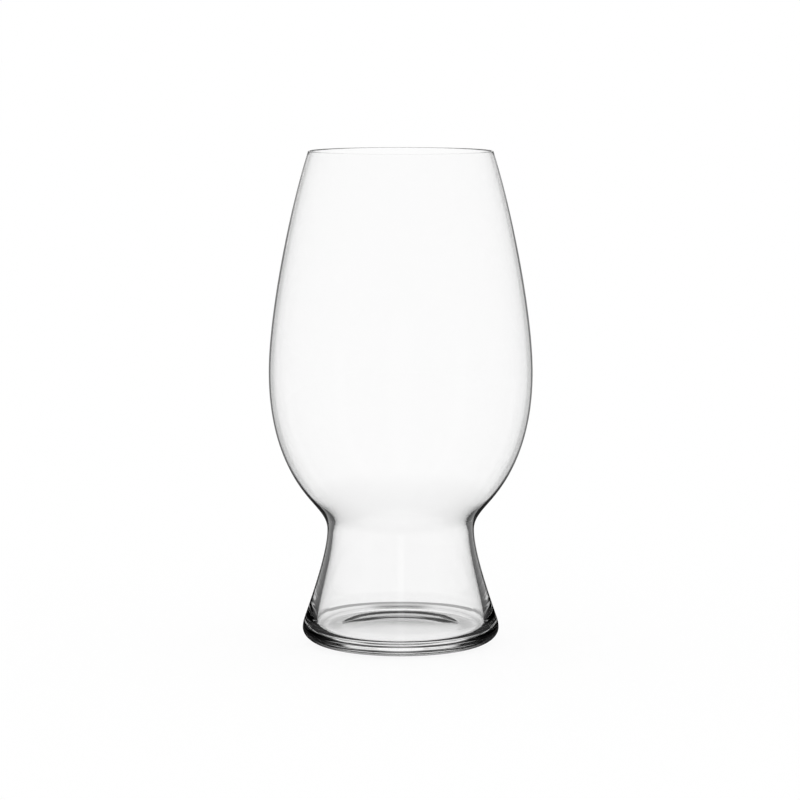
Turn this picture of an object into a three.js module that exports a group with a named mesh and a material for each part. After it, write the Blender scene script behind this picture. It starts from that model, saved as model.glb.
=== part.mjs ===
// Wheat beer glass: a tall bowl that swells low down and draws in towards the mouth, on a hollow
// flared foot with a thick base. Millimetres, +Z up, standing on z = 0 with its axis on Z.
import * as THREE from 'three';

// Outside of the glass, from the mouth down. A lean is the angle between the wall and the vertical.
const height = 176;
const mouthDiameter = 65.7;
const rimLean = 17.7;
const bellyDiameter = 94;
const bellyHeight = 97.2;
const hipDiameter = 68;
const hipHeight = 53.7;
const hipLean = 38.4;
const waistDiameter = 52.5;
const waistHeight = 40.7;
const soleDiameter = 69.4;
const soleHeight = 8.2;
const soleLean = 18.7;
const heelDiameter = 70.4;
const heelHeight = 5.3;
const heelWidth = 8;

// Wall thickness at the same places, and the inside of the foot
const rimWall = 0.8;
const bellyWall = 0.8;
const hipWall = 1;
const waistWall = 1.9;
const soleWall = 4.2;
const footInsideLean = 8;

// Floor of the foot, and the hollow under the base
const floorDrop = 3.5;
const floorFillet = 3;
const floorCrown = 0.7;
const puntDiameter = 44;
const puntDepth = 1.4;

// How far each curve follows the lean of its two ends, as a share of the height between them
const shoulderReach = { from: 0.3, to: 0.25 };
const flankReach = { from: 0.5, to: 0.24 };
const hipReach = { from: 0.52, to: 0.38 };
const footReach = { from: 0.26, to: 0.24 };
const gentleReach = { from: 0.33, to: 0.33 };

// Facets round the axis, and along each curve of a profile
const roundSteps = 60;
const longSteps = 8;
const shortSteps = 6;
const edgeSteps = 3;

// A place on a profile: its radius and height, and how its wall leans outward on the way down
function station(radius, z, leanDegrees = 0) {
  const lean = THREE.MathUtils.degToRad(leanDegrees);
  return { place: new THREE.Vector2(radius, z), down: new THREE.Vector2(Math.sin(lean), -Math.cos(lean)) };
}

// The station on the inner face of a wall, measured square to the outer one
function inside(outer, wall) {
  const inward = new THREE.Vector2(outer.down.y, -outer.down.x);
  return { place: outer.place.clone().addScaledVector(inward, wall), down: outer.down };
}

// A smooth curve down from one station to the next
function wallCurve(upper, lower, reach) {
  const span = upper.place.y - lower.place.y;
  const upperHandle = upper.place.clone().addScaledVector(upper.down, reach.from * span);
  const lowerHandle = lower.place.clone().addScaledVector(lower.down, -reach.to * span);
  return new THREE.CubicBezierCurve(upper.place, upperHandle, lowerHandle, lower.place);
}

// Points along curves that follow each other, with each shared end taken once
function trace(...runs) {
  const points = [];
  for (const [curve, steps] of runs) {
    const fresh = curve.getPoints(steps);
    points.push(...(points.length ? fresh.slice(1) : fresh));
  }
  return points;
}

// The rounded lip, the stations on its two sides, and the stations on both faces of the wall
const leanAtRim = THREE.MathUtils.degToRad(rimLean);
const lipRadius = rimWall / 2;
const lipCentre = new THREE.Vector2(mouthDiameter / 2 - lipRadius * Math.cos(leanAtRim), height - lipRadius);
const rimOuter = station(mouthDiameter / 2, lipCentre.y + lipRadius * Math.sin(leanAtRim), rimLean);
const rimInner = inside(rimOuter, rimWall);
const belly = station(bellyDiameter / 2, bellyHeight);
const bellyInner = inside(belly, bellyWall);
const hip = station(hipDiameter / 2, hipHeight, -hipLean);
const hipInner = inside(hip, hipWall);
const waist = station(waistDiameter / 2, waistHeight);
const waistInner = inside(waist, waistWall);
const sole = station(soleDiameter / 2, soleHeight, soleLean);
const soleInner = station(soleDiameter / 2 - soleWall, soleHeight, footInsideLean);
const heel = station(heelDiameter / 2, heelHeight);

// Bowl: down the outside from the rim to the waist, then up the inside and over the lip
function bowlProfile() {
  const outside = trace(
    [wallCurve(rimOuter, belly, shoulderReach), longSteps],
    [wallCurve(belly, hip, flankReach), longSteps],
    [wallCurve(hip, waist, hipReach), longSteps],
  );
  const within = trace(
    [wallCurve(rimInner, bellyInner, shoulderReach), longSteps],
    [wallCurve(bellyInner, hipInner, flankReach), longSteps],
    [wallCurve(hipInner, waistInner, hipReach), longSteps],
  );
  const lip = new THREE.EllipseCurve(
    lipCentre.x, lipCentre.y, lipRadius, lipRadius, Math.PI + leanAtRim, leanAtRim, true,
  );
  return [...outside, ...within.reverse(), ...lip.getPoints(shortSteps).slice(1)];
}

// Foot: the flared wall between the waist and the base, thicker towards the bottom
function footProfile() {
  const outside = trace([wallCurve(waist, sole, footReach), longSteps]);
  const within = trace([wallCurve(waistInner, soleInner, footReach), longSteps]);
  return [...outside, ...within.reverse(), outside[0]];
}

// Base: the thick bottom, with a slightly crowned floor, a rounded heel, a flat ring to stand on and a
// shallow hollow below
function baseProfile() {
  const floorHeight = soleHeight - floorDrop;
  const floorCorner = soleInner.place.clone().addScaledVector(soleInner.down, floorDrop / -soleInner.down.y);
  const floorEdge = new THREE.Vector2(floorCorner.x - floorFillet, floorHeight);
  const floorTop = new THREE.Vector2(0, floorHeight + floorCrown);
  const floorRise = new THREE.Vector2(floorEdge.x / 2, floorTop.y);
  const standEdge = heel.place.x - heelWidth;
  const heelRound = new THREE.EllipseCurve(
    standEdge, heelHeight, heelWidth, heelHeight, 0, -Math.PI / 2, true,
  );
  const puntEdge = new THREE.Vector2(puntDiameter / 2, 0);
  const puntCrown = new THREE.Vector2(puntDiameter / 4, puntDepth);
  const puntTop = new THREE.Vector2(0, puntDepth);
  return trace(
    [new THREE.QuadraticBezierCurve(floorTop, floorRise, floorEdge), shortSteps],
    [new THREE.QuadraticBezierCurve(floorEdge, floorCorner, soleInner.place), edgeSteps],
    [new THREE.LineCurve(soleInner.place, sole.place), 1],
    [wallCurve(sole, heel, gentleReach), edgeSteps],
    [heelRound, shortSteps],
    [new THREE.LineCurve(new THREE.Vector2(standEdge, 0), puntEdge), 1],
    [new THREE.QuadraticBezierCurve(puntEdge, puntCrown, puntTop), shortSteps],
  );
}

// One turned piece of clear glass. Profiles run down the outside, and a lathe takes them upward.
function turned(name, profile, colour) {
  const geometry = new THREE.LatheGeometry(profile.toReversed(), roundSteps);
  geometry.rotateX(Math.PI / 2);
  const glass = new THREE.MeshStandardMaterial({
    color: colour, roughness: 0.03, metalness: 0, transparent: true, opacity: 0.3,
  });
  const mesh = new THREE.Mesh(geometry, glass);
  mesh.name = name;
  return mesh;
}

const wheatBeerGlass = new THREE.Group();
wheatBeerGlass.add(
  turned('bowl', bowlProfile(), 0xfafbfb),
  turned('foot', footProfile(), 0xf2f4f4),
  turned('base', baseProfile(), 0xeceeee),
);

export default wheatBeerGlass;
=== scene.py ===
import math
import bmesh
import bpy
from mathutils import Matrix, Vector
from mathutils.geometry import interpolate_bezier


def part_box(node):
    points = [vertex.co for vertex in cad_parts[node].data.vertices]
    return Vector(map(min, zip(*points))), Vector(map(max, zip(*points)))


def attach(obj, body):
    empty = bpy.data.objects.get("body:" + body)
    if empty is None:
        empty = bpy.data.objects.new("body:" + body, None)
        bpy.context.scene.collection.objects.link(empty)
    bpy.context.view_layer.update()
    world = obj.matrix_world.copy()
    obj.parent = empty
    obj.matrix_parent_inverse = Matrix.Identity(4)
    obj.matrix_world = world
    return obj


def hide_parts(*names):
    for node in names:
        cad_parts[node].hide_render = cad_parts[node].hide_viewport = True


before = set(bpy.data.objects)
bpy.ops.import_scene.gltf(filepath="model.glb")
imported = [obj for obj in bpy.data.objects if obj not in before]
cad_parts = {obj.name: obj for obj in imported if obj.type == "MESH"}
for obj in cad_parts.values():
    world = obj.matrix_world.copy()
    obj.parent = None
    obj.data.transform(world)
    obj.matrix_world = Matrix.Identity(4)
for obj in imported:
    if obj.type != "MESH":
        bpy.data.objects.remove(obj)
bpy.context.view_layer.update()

mm = 0.001
bounces = 32   # light goes round and round in the thick base
scene = bpy.context.scene
scene.view_settings.view_transform = "Standard"
for limit in ("max_bounces", "transmission_bounces", "glossy_bounces", "transparent_max_bounces"):
    setattr(scene.cycles, limit, bounces)


def linear(hexColour):
    # sRGB hex to the linear colour that shaders take
    parts = [int(hexColour[i:i + 2], 16) / 255 for i in (1, 3, 5)]
    return (*[p / 12.92 if p <= 0.04045 else ((p + 0.055) / 1.055) ** 2.4 for p in parts], 1)


def addNode(tree, kind, settings=None, **inputs):
    # a node with its settings, and its inputs set or linked by name, or by place as _0 and _1
    node = tree.nodes.new(kind)
    for key, value in (settings or {}).items():
        setattr(node, key, value)
    for key, value in inputs.items():
        socket = node.inputs[int(key[1:]) if key[1:].isdigit() else key.replace("_", " ")]
        if isinstance(value, bpy.types.Node):
            value = value.outputs[0]
        if isinstance(value, bpy.types.NodeSocket):
            tree.links.new(value, socket)
        else:
            socket.default_value = value
    return node


# kinds of node with their settings
softStep = "ShaderNodeMapRange", {"interpolation_type": "SMOOTHSTEP"}
plus = "ShaderNodeMath", {"operation": "ADD"}
minus = "ShaderNodeMath", {"operation": "SUBTRACT"}
times = "ShaderNodeMath", {"operation": "MULTIPLY"}
timesPlus = "ShaderNodeMath", {"operation": "MULTIPLY_ADD"}
power = "ShaderNodeMath", {"operation": "POWER"}
over = "ShaderNodeMath", {"operation": "GREATER_THAN"}
most = "ShaderNodeMath", {"operation": "MAXIMUM"}
closeTo = "ShaderNodeMath", {"operation": "COMPARE"}
positive = "ShaderNodeMath", {"operation": "ABSOLUTE"}
direction = "ShaderNodeMath", {"operation": "ARCTAN2"}
lengthOf = "ShaderNodeVectorMath", {"operation": "LENGTH"}


# inputs of a soft step from low at its start to high at its end, between two distances, two angles, or two
# elevations of a way whose height is their sine
def span(start, end, low=0.0, high=1.0):
    return {"From_Min": start, "From_Max": end, "To_Min": low, "To_Max": high}


def degrees(start, end, low=0.0, high=1.0):
    return span(math.radians(start), math.radians(end), low, high)


def elevation(start, end, low=0.0, high=1.0):
    return span(math.sin(math.radians(start)), math.sin(math.radians(end)), low, high)


# camera: the photograph's height, distance and framing
camera = {"away": 1120 * mm, "height": 218.6 * mm, "aimHeight": 87.28 * mm, "aside": -0.25 * mm,
          "lens": 142.28, "sensor": 36}


def makeCamera():
    lens = bpy.data.cameras.new("camera")
    lens.lens = camera["lens"]
    lens.sensor_width = camera["sensor"]
    eye = bpy.data.objects.new("camera", lens)
    scene.collection.objects.link(eye)
    eye.location = (camera["aside"], -camera["away"], camera["height"])
    tilt = math.atan2(camera["height"] - camera["aimHeight"], camera["away"])
    eye.rotation_euler = (math.pi / 2 - tilt, 0, 0)
    scene.camera = eye


makeCamera()
print("camera set")

# studio: a white tent on a white floor, at strength 1. Light that the glass itself reflected or bent on its
# way finds black cards beside the white ground behind the glass and round its foot, so the edges of the
# glass draw dark lines. Pairs are where a soft step starts and ends: angles in degrees from straight behind
# the glass or up from the floor, distances from its axis, or heights. Other numbers are shares of white.
studio = {"white": "#ffffff", "black": "#000000"}
atLeast = {"one": 0.5, "two": 1.5, "three": 2.5}   # counts are compared halfway below the number


def lightTurns(tree):
    # how light came, 1 or 0 for each, and its fading. A turn is a reflection, and a wall has two faces.
    path = addNode(tree, "ShaderNodeLightPath")
    turns, faces = path.outputs["Glossy Depth"], path.outputs["Transmission Depth"]
    turned = addNode(tree, *over, _0=turns, _1=atLeast["one"])
    often = addNode(tree, *over, _0=turns, _1=atLeast["two"])
    single = addNode(tree, *minus, _0=turned, _1=often)
    entered = addNode(tree, *over, _0=faces, _1=atLeast["one"])
    crossed = addNode(tree, *over, _0=faces, _1=atLeast["three"])
    oneWall = addNode(tree, *minus, _0=entered, _1=crossed)
    glanced = addNode(tree, *minus, _0=turned, _1=addNode(tree, *times, _0=turned, _1=entered))
    inWall = addNode(tree, *times, _0=single, _1=oneWall)
    fewer = addNode(tree, *minus, _0=turns, _1=1.0)
    return {
        "often": often,
        "crossed": crossed,
        "glanced": glanced,
        "edge": addNode(tree, *plus, _0=glanced, _1=inWall),
        "beyond": addNode(tree, *times, _0=single, _1=crossed),
        "solid": addNode(tree, *minus, _0=oneWall, _1=addNode(tree, *times, _0=oneWall, _1=often)),
        "through": addNode(tree, *minus, _0=crossed, _1=addNode(tree, *times, _0=crossed, _1=turned)),
        "fading": addNode(tree, *power, _0=trap["fade"], _1=fewer),   # some is lost at every turn
    }


def bearing(tree, x, y, aside=0.0):
    # the angle from straight behind, the same on both sides, measured from a place aside of the axis
    across = addNode(tree, *minus, _0=addNode(tree, *positive, _0=x), _1=aside)
    return addNode(tree, *direction, _0=addNode(tree, *most, _0=across, _1=0.0), _1=y)


# black cards behind the glass, and a grey veil beside and in front of it
card = {"inner": (8, 10), "outer": (20, 24), "aside": 33 * mm, "top": (6, 9), "near": 0.03, "far": 0.25,
        "depth": (150 * mm, 350 * mm)}
veil = {"turn": (40, 110), "back": 0.84, "front": 0.68, "top": (30, 60)}


def cardShare(tree, inner, outer):
    # 1 on the cards at both sides of the white ground behind the glass
    start = addNode(tree, *softStep, Value=inner, **degrees(*card["inner"]))
    end = addNode(tree, *softStep, Value=outer, **degrees(*card["outer"], 1.0, 0.0))
    return addNode(tree, *times, _0=start, _1=end)


def veilLoss(tree, angle):
    # how much darker than white the veil is, none on the ground straight behind
    back, front = 1 - veil["back"], 1 - veil["front"]
    side = addNode(tree, *softStep, Value=angle, **degrees(*veil["turn"], back, front))
    ground = addNode(tree, *softStep, Value=angle, **degrees(*card["inner"]))
    return addNode(tree, *times, _0=side, _1=ground)


# white tent, with a dim belt for light turned beyond a wall, and black with white gaps for light turned often
haze = {"from": (-1, 1), "to": (10, 28), "side": (12, 22), "low": 0.1, "floor": (200 * mm, 500 * mm)}
trap = {"gap": (18, 27), "sideFrom": (100, 105), "sideTo": (120, 128), "white": 0.98, "black": 0.03,
        "top": (25, 45), "beyondTop": (70, 88), "fade": 0.93}


def makeTent():
    world = bpy.data.worlds.new("white tent")
    scene.world = world
    world.use_nodes = True
    tree = world.node_tree
    tree.nodes.clear()
    look = addNode(tree, "ShaderNodeTexCoord")
    way = addNode(tree, "ShaderNodeSeparateXYZ", Vector=look.outputs["Generated"])
    x, y, z = (way.outputs[axis] for axis in "XYZ")
    turns = lightTurns(tree)
    angle = bearing(tree, x, y)
    # light turned once, at the outside or inside a wall, finds the low cards and the veil
    low = addNode(tree, *softStep, Value=z, **elevation(*card["top"], 1 - card["far"], 0.0))
    cardLoss = addNode(tree, *times, _0=cardShare(tree, angle, angle), _1=low)
    low = addNode(tree, *softStep, Value=z, **elevation(*veil["top"], 1.0, 0.0))
    dimLoss = addNode(tree, *times, _0=veilLoss(tree, angle), _1=low)
    loss = addNode(tree, *times, _0=turns["edge"], _1=addNode(tree, *most, _0=cardLoss, _1=dimLoss))
    # light turned once beyond a wall finds a soft dim belt straight behind
    rise = addNode(tree, *softStep, Value=z, **elevation(*haze["from"]))
    fall = addNode(tree, *softStep, Value=z, **elevation(*haze["to"]))
    belt = addNode(tree, *minus, _0=rise, _1=fall)
    behind = addNode(tree, *softStep, Value=angle, **degrees(*haze["side"], 1 - haze["low"], 0.0))
    beltLoss = addNode(tree, *times, _0=belt, _1=behind)
    loss = addNode(tree, *timesPlus, _0=turns["beyond"], _1=beltLoss, _2=loss)
    # light turned often finds black all round, with white gaps behind and at the sides, and white above
    gap = addNode(tree, *softStep, Value=angle, **degrees(*trap["gap"], 1.0, 0.0))
    sideFrom = addNode(tree, *softStep, Value=angle, **degrees(*trap["sideFrom"]))
    sideTo = addNode(tree, *softStep, Value=angle, **degrees(*trap["sideTo"]))
    share = addNode(tree, *most, _0=gap, _1=addNode(tree, *minus, _0=sideFrom, _1=sideTo))
    tone = addNode(tree, *timesPlus, _0=share, _1=trap["white"] - trap["black"], _2=trap["black"])
    rest = addNode(tree, *minus, _0=1.0, _1=tone)
    rise = addNode(tree, *softStep, Value=z, **elevation(*trap["top"]))
    beyondRise = addNode(tree, *softStep, Value=z, **elevation(*trap["beyondTop"]))
    later = addNode(tree, *minus, _0=beyondRise, _1=rise)
    rise = addNode(tree, *timesPlus, _0=turns["crossed"], _1=later, _2=rise)
    tone = addNode(tree, *timesPlus, _0=rest, _1=rise, _2=tone)
    faded = addNode(tree, *times, _0=tone, _1=turns["fading"])
    oftenLoss = addNode(tree, *minus, _0=1.0, _1=faded)
    loss = addNode(tree, *timesPlus, _0=turns["often"], _1=oftenLoss, _2=loss)
    left = addNode(tree, *minus, _0=1.0, _1=loss)
    light = addNode(tree, "ShaderNodeBackground", Color=linear(studio["white"]), Strength=left)
    addNode(tree, "ShaderNodeOutputWorld", Surface=light)


def addStage(name, bm, paper):
    mesh = bpy.data.meshes.new(name)
    bm.to_mesh(mesh)
    bm.free()
    mesh.materials.append(paper)
    prop = bpy.data.objects.new(name, mesh)
    scene.collection.objects.link(prop)


def newPaper(name):
    paper = bpy.data.materials.new(name)
    paper.use_nodes = True
    paper.node_tree.nodes.clear()
    return paper, paper.node_tree


# floor: white out to the horizon, with black close to the glass and a painted shadow at its heel, whose
# shares say how much of the white it takes
floor = {"radius": 20.0, "drop": 0.05 * mm, "segments": 96, "glow": 0.9}
ring = {"edge": (28 * mm, 30 * mm), "fading": (50 * mm, 120 * mm)}
shadow = {"from": (27.5 * mm, 29 * mm), "deep": (29 * mm, 46 * mm), "end": (46 * mm, 48.2 * mm), "dark": 0.9,
          "light": 0.35, "side": (8, 25), "sideShare": 0.25, "line": 48.2 * mm, "lineHalf": 2.2 * mm,
          "lineLoss": 0.6}
halo = {"from": (35 * mm, 37 * mm), "to": (45 * mm, 55 * mm)}


# white card: matt paper lit from below as well, so that only a trace of the shadow stays
def whiteCard():
    paper, tree = newPaper("white card")
    white = linear(studio["white"])
    matt = addNode(tree, "ShaderNodeBsdfDiffuse", Color=white)
    glow = addNode(tree, "ShaderNodeEmission", Color=white, Strength=1.0)
    lit = addNode(tree, "ShaderNodeMixShader", Fac=floor["glow"], _1=matt, _2=glow)
    dark = addNode(tree, "ShaderNodeEmission", Color=linear(studio["black"]))
    look = addNode(tree, "ShaderNodeTexCoord")
    place = addNode(tree, "ShaderNodeSeparateXYZ", Vector=look.outputs["Object"])
    x, y = place.outputs["X"], place.outputs["Y"]
    away = addNode(tree, *lengthOf, _0=look.outputs["Object"]).outputs["Value"]
    turns = lightTurns(tree)
    angle = bearing(tree, x, y)
    # light turned once finds the cards, the veil and the black ring
    share = cardShare(tree, angle, bearing(tree, x, y, card["aside"]))
    depth = addNode(tree, *softStep, Value=away, **span(*card["depth"], 1 - card["near"], 1 - card["far"]))
    cardLoss = addNode(tree, *times, _0=share, _1=depth)
    nearLoss = addNode(tree, *softStep, Value=away, **span(*ring["fading"], 1 - card["near"], 0.0))
    blackLoss = addNode(tree, *most, _0=cardLoss, _1=nearLoss)
    edgeLoss = addNode(tree, *most, _0=blackLoss, _1=veilLoss(tree, angle))
    beside = addNode(tree, *softStep, Value=away, **span(*ring["edge"]))
    edgeLoss = addNode(tree, *times, _0=edgeLoss, _1=beside)
    loss = addNode(tree, *times, _0=turns["edge"], _1=edgeLoss)
    # beyond a wall the floor far behind is dark
    far = addNode(tree, *softStep, Value=away, **span(*haze["floor"]))
    behind = addNode(tree, *softStep, Value=angle, **degrees(*haze["side"], 1 - haze["low"], 0.0))
    farLoss = addNode(tree, *times, _0=far, _1=behind)
    loss = addNode(tree, *timesPlus, _0=turns["beyond"], _1=farLoss, _2=loss)
    # straight through the glass a painted shadow of it shows on the floor, with a thin painted dark line
    # round it
    start = addNode(tree, *softStep, Value=away, **span(*shadow["from"]))
    deep = addNode(tree, *softStep, Value=away, **span(*shadow["deep"], shadow["dark"], shadow["light"]))
    end = addNode(tree, *softStep, Value=away, **span(*shadow["end"], 1.0, 0.0))
    side = addNode(tree, *softStep, Value=angle, **degrees(*shadow["side"], 1.0, shadow["sideShare"]))
    soft = addNode(tree, *times, _0=start, _1=deep)
    soft = addNode(tree, *times, _0=soft, _1=end)
    soft = addNode(tree, *times, _0=soft, _1=side)
    line = addNode(tree, *closeTo, _0=away, _1=shadow["line"], _2=shadow["lineHalf"])
    line = addNode(tree, *times, _0=line, _1=shadow["lineLoss"])
    shadowLoss = addNode(tree, *most, _0=soft, _1=line)
    loss = addNode(tree, *timesPlus, _0=turns["through"], _1=shadowLoss, _2=loss)
    # light turned often finds black, but beyond a wall a white halo round the heel
    haloFrom = addNode(tree, *softStep, Value=away, **span(*halo["from"]))
    haloTo = addNode(tree, *softStep, Value=away, **span(*halo["to"]))
    tone = addNode(tree, *minus, _0=haloFrom, _1=haloTo)
    tone = addNode(tree, *times, _0=tone, _1=turns["crossed"])
    tone = addNode(tree, *most, _0=tone, _1=trap["black"])
    faded = addNode(tree, *times, _0=tone, _1=turns["fading"])
    oftenLoss = addNode(tree, *minus, _0=1.0, _1=faded)
    loss = addNode(tree, *timesPlus, _0=turns["often"], _1=oftenLoss, _2=loss)
    mixed = addNode(tree, "ShaderNodeMixShader", Fac=loss, _1=lit, _2=dark)
    addNode(tree, "ShaderNodeOutputMaterial", Surface=mixed)
    return paper


def makeFloor():
    bm = bmesh.new()
    bmesh.ops.create_circle(bm, cap_ends=True, segments=floor["segments"], radius=floor["radius"])
    bmesh.ops.translate(bm, verts=bm.verts, vec=(0, 0, -floor["drop"]))
    addStage("floor", bm, whiteCard())


# collar: a black card round the foot that leans in to the waist, with gaps ahead and behind
collar = {"foot": 60 * mm, "neck": 29 * mm, "height": 46 * mm, "segments": 96, "top": (37 * mm, 50 * mm),
          "gap": (2.0, 4.5), "kerb": (13 * mm, 18 * mm)}


# black card: black only from below, for light that turned at most once inside a wall of the foot, so those
# walls look dark
def blackCard():
    paper, tree = newPaper("black card")
    look = addNode(tree, "ShaderNodeTexCoord")
    place = addNode(tree, "ShaderNodeSeparateXYZ", Vector=look.outputs["Object"])
    x, y, z = (place.outputs[axis] for axis in "XYZ")
    angle = bearing(tree, x, addNode(tree, *positive, _0=y))
    turns = lightTurns(tree)
    low = addNode(tree, *softStep, Value=z, **span(*collar["top"], 1.0, 0.0))
    seen = addNode(tree, *times, _0=low, _1=turns["solid"])
    # light off the outside of the heel finds only its lowest part
    kerb = addNode(tree, *softStep, Value=z, **span(*collar["kerb"], 1.0, 0.0))
    seen = addNode(tree, *timesPlus, _0=kerb, _1=turns["glanced"], _2=seen)
    beside = addNode(tree, *softStep, Value=angle, **degrees(*collar["gap"]))
    seen = addNode(tree, *times, _0=seen, _1=beside)
    below = addNode(tree, "ShaderNodeNewGeometry").outputs["Backfacing"]
    seen = addNode(tree, *times, _0=seen, _1=below)
    clear = addNode(tree, "ShaderNodeBsdfTransparent", Color=linear(studio["white"]))
    dark = addNode(tree, "ShaderNodeEmission", Color=linear(studio["black"]))
    mixed = addNode(tree, "ShaderNodeMixShader", Fac=seen, _1=clear, _2=dark)
    addNode(tree, "ShaderNodeOutputMaterial", Surface=mixed)
    return paper


def makeCollar():
    bm = bmesh.new()
    bmesh.ops.create_cone(bm, cap_ends=False, segments=collar["segments"], radius1=collar["foot"],
                          radius2=collar["neck"], depth=collar["height"])
    bmesh.ops.translate(bm, verts=bm.verts, vec=(0, 0, collar["height"] / 2))
    addStage("collar", bm, blackCard())


makeTent()
makeFloor()
makeCollar()
print("studio set")


glassLook = {"Base Color": linear("#ffffff"), "Roughness": 0.0, "IOR": 1.5, "Transmission Weight": 1.0}


# clear soda-lime glass, fire polished: colourless and mirror smooth, with the slow ripple of hand work, which
# shows as a slight unevenness in its dark lines. On foot and base it is deeper than on a good glass, so that
# the lines there break up.
def clearGlass(name, ripple):
    glass = bpy.data.materials.new(name)
    glass.use_nodes = True
    tree = glass.node_tree
    shader = tree.nodes["Principled BSDF"]
    for socket, value in glassLook.items():
        shader.inputs[socket].default_value = value
    place = addNode(tree, "ShaderNodeTexCoord").outputs["Object"]
    wave = addNode(tree, "ShaderNodeTexNoise", Vector=place, Scale=1 / (ripple["width"] * mm), Detail=0.0)
    bump = addNode(tree, "ShaderNodeBump", Height=wave.outputs["Fac"], Distance=ripple["depth"] * mm,
                   Strength=1.0)
    tree.links.new(bump.outputs["Normal"], shader.inputs["Normal"])
    return glass


# fused seam: the two sections are one glass here, so nothing shows
def fusedSeam():
    seam = bpy.data.materials.new("fused seam")
    seam.use_nodes = True
    shader = seam.node_tree.nodes["Principled BSDF"]
    shader.inputs["Alpha"].default_value = 0.0
    return seam


seamGlass = fusedSeam()


def station(radius, height, lean=0.0):
    # a place on a profile in mm, and which way its wall runs down
    tilt = math.radians(lean)
    return Vector((radius, 0, height)), Vector((math.sin(tilt), 0, -math.cos(tilt)))


def within(outer, wall):
    # the place on the inner face of a wall, square to the outer one
    place, down = outer
    return place + wall * Vector((down.z, 0, -down.x)), down


def wallCurve(upper, lower, reach, steps):
    # a smooth curve that follows the lean of its ends for a share of the height between them
    drop = upper[0].z - lower[0].z
    return interpolate_bezier(upper[0], upper[0] + reach[0] * drop * upper[1],
                              lower[0] - reach[1] * drop * lower[1], lower[0], steps)


def bend(start, corner, end, steps):
    # a curve that heads for the corner at both ends
    return interpolate_bezier(start, start.lerp(corner, 2 / 3), end.lerp(corner, 2 / 3), end, steps)


def arc(centre, wide, high, start, end, steps):
    angles = [math.radians(start + (end - start) * i / (steps - 1)) for i in range(steps)]
    return [centre + Vector((wide * math.cos(a), 0, high * math.sin(a))) for a in angles]


# lathe: steps round the axis, the angle from which an edge is sharp, and how close points are the same, in a
# profile in mm and in a piece in metres
lathe = {"steps": 192, "sharpOver": 35.0, "sameInProfile": 1e-6, "same": 1e-7, "sliver": 1e-8}


def trace(*runs):
    # runs of points that follow each other, with each shared end taken once
    points = []
    for run in runs:
        points += [p for p in run if not points or (p - points[-1]).length > lathe["sameInProfile"]]
    return points


def spun(name, points, seams):
    # a profile in mm turned into a closed piece in metres, with its seam faces in the second material
    bm = bmesh.new()
    verts = [bm.verts.new(p * mm) for p in points]
    pairs = list(zip(verts, verts[1:]))
    if points[0].x > 0:
        pairs.append((verts[-1], verts[0]))
    edges = [bm.edges.new(pair) for pair in pairs]
    bmesh.ops.spin(bm, geom=verts + edges, cent=(0, 0, 0), axis=(0, 0, 1), angle=2 * math.pi,
                   steps=lathe["steps"], use_merge=True)
    bmesh.ops.remove_doubles(bm, verts=bm.verts, dist=lathe["same"])
    bmesh.ops.dissolve_degenerate(bm, edges=bm.edges, dist=lathe["sliver"])
    bmesh.ops.recalc_face_normals(bm, faces=bm.faces)
    for face in bm.faces:
        face.smooth = True
        onSeam = [all(abs(v.co.z - z * mm) < lathe["same"] for v in face.verts) for z in seams]
        face.material_index = int(any(onSeam))
    for edge in bm.edges:
        edge.smooth = edge.calc_face_angle(0) < math.radians(lathe["sharpOver"])
    print(name, "open edges", sum(not e.is_manifold for e in bm.edges), "faces", len(bm.faces),
          "volume cm3", round(bm.calc_volume() * 1e6, 2))
    mesh = bpy.data.meshes.new(name)
    bm.to_mesh(mesh)
    bm.free()
    piece = bpy.data.objects.new(name, mesh)
    scene.collection.objects.link(piece)
    return piece


def dress(piece, node, glass):
    piece.data.materials.append(glass)
    piece.data.materials.append(seamGlass)
    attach(piece, "root")
    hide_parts(node)


def frameSize(metres):
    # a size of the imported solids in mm, to the tenth that they are drawn to
    return round(metres / mm, 1)


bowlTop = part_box("bowl")[1]
footBottom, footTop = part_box("foot")
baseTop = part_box("base")[1]

# bowl: sizes in mm across the outside, heights, walls and leans from the vertical. A pair is how far a curve
# follows the lean of its two ends.
bowl = {"height": frameSize(bowlTop.z), "mouth": 65.7, "rimLean": 17.7, "belly": frameSize(bowlTop.x * 2),
        "bellyHeight": 97.2, "hip": 68.0, "hipHeight": 53.7, "hipLean": 38.4,
        "rimWall": 0.7, "bellyWall": 0.7, "hipWall": 1.0,
        "shoulder": (0.3, 0.25), "flank": (0.5, 0.24), "throat": (0.52, 0.38),
        "steps": 60, "throatSteps": 40, "lipSteps": 13, "ripple": {"width": 30.0, "depth": 0.002}}


def makeBowl():
    lean = math.radians(bowl["rimLean"])
    lip = bowl["rimWall"] / 2
    lipCentre = Vector((bowl["mouth"] / 2 - lip * math.cos(lean), 0, bowl["height"] - lip))
    rim = station(bowl["mouth"] / 2, lipCentre.z + lip * math.sin(lean), bowl["rimLean"])
    belly = station(bowl["belly"] / 2, bowl["bellyHeight"])
    hip = station(bowl["hip"] / 2, bowl["hipHeight"], -bowl["hipLean"])
    stations = [rim, belly, hip, waist]
    innerStations = [within(rim, bowl["rimWall"]), within(belly, bowl["bellyWall"]),
                     within(hip, bowl["hipWall"]), waistInner]
    sides = []
    for upper, middle, lower, neck in (stations, innerStations):
        sides.append(trace(wallCurve(upper, middle, bowl["shoulder"], bowl["steps"]),
                           wallCurve(middle, lower, bowl["flank"], bowl["steps"]),
                           wallCurve(lower, neck, bowl["throat"], bowl["throatSteps"])))
    outside, inside = sides
    lipRound = arc(lipCentre, lip, lip, 180 + bowl["rimLean"], bowl["rimLean"], bowl["lipSteps"])
    return spun("bowl_glass", outside + inside[::-1] + lipRound[1:-1], [foot["waistHeight"]])


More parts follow.
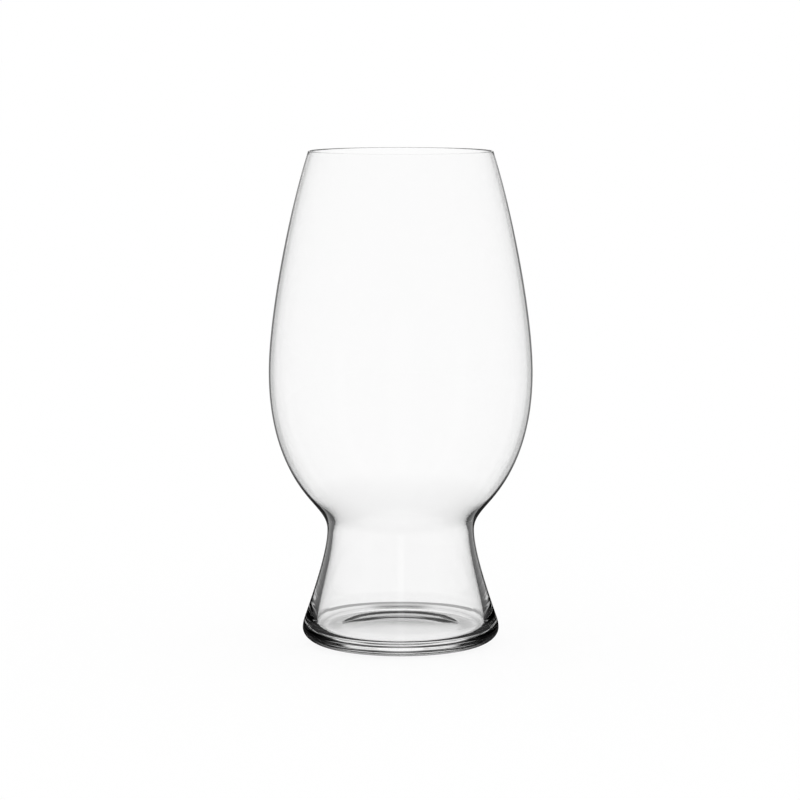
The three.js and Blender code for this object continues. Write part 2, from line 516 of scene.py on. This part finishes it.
# foot: the flared wall from the waist, where it meets the bowl, to the sole, where it meets the base
foot = {"waist": 52.5, "waistHeight": frameSize(footTop.z), "waistWall": 1.9,
        "sole": frameSize(footTop.x * 2), "soleHeight": frameSize(footBottom.z), "soleLean": 18.7,
        "soleWall": 4.2, "insideLean": 8.0, "flare": (0.26, 0.24), "steps": 50,
        "ripple": {"width": 14.0, "depth": 0.02}}
waist = station(foot["waist"] / 2, foot["waistHeight"])
waistInner = within(waist, foot["waistWall"])
sole = station(foot["sole"] / 2, foot["soleHeight"], foot["soleLean"])
soleInner = station(foot["sole"] / 2 - foot["soleWall"], foot["soleHeight"], foot["insideLean"])


def makeFoot():
    outside = trace(wallCurve(waist, sole, foot["flare"], foot["steps"]))
    inside = trace(wallCurve(waistInner, soleInner, foot["flare"], foot["steps"]))
    return spun("foot_glass", outside + inside[::-1], [foot["waistHeight"], foot["soleHeight"]])


# base: crowned floor of the foot, rounded heel, flat ring to stand on and a shallow hollow (punt) underneath
base = {"heel": frameSize(baseTop.x * 2), "heelHeight": 5.3, "heelWidth": 8.0, "heelReach": (0.33, 0.33),
        "floorDrop": 3.5, "floorFillet": 3.0, "floorCrown": 0.7, "punt": 44.0, "puntDepth": 1.4,
        "heelSteps": 30, "edgeSteps": 8, "filletSteps": 12, "crownSteps": 24,
        "ripple": {"width": 9.0, "depth": 0.06}}


def makeBase():
    heel = station(base["heel"] / 2, base["heelHeight"])
    stand = base["heel"] / 2 - base["heelWidth"]
    heelCentre = Vector((stand, 0, base["heelHeight"]))
    heelRound = arc(heelCentre, base["heelWidth"], base["heelHeight"], 0, -90, base["heelSteps"])
    corner = soleInner[0] - soleInner[1] * (base["floorDrop"] / soleInner[1].z)
    floorEdge = corner - Vector((base["floorFillet"], 0, 0))
    floorTop = Vector((0, 0, foot["soleHeight"] - base["floorDrop"] + base["floorCrown"]))
    floorCrown = Vector((floorEdge.x / 2, 0, floorTop.z))
    puntEdge = Vector((base["punt"] / 2, 0, 0))
    puntTop = Vector((0, 0, base["puntDepth"]))
    puntCrown = Vector((puntEdge.x / 2, 0, puntTop.z))
    points = trace(bend(floorTop, floorCrown, floorEdge, base["crownSteps"]),
                   bend(floorEdge, corner, soleInner[0], base["filletSteps"]), [soleInner[0], sole[0]],
                   wallCurve(sole, heel, base["heelReach"], base["edgeSteps"]), heelRound,
                   [Vector((stand, 0, 0)), puntEdge], bend(puntEdge, puntCrown, puntTop, base["crownSteps"]))
    return spun("base_glass", points, [foot["soleHeight"]])


dress(makeBowl(), "bowl", clearGlass("blown clear glass", bowl["ripple"]))
dress(makeFoot(), "foot", clearGlass("drawn clear glass", foot["ripple"]))
dress(makeBase(), "base", clearGlass("pressed clear glass", base["ripple"]))
print("glass made")
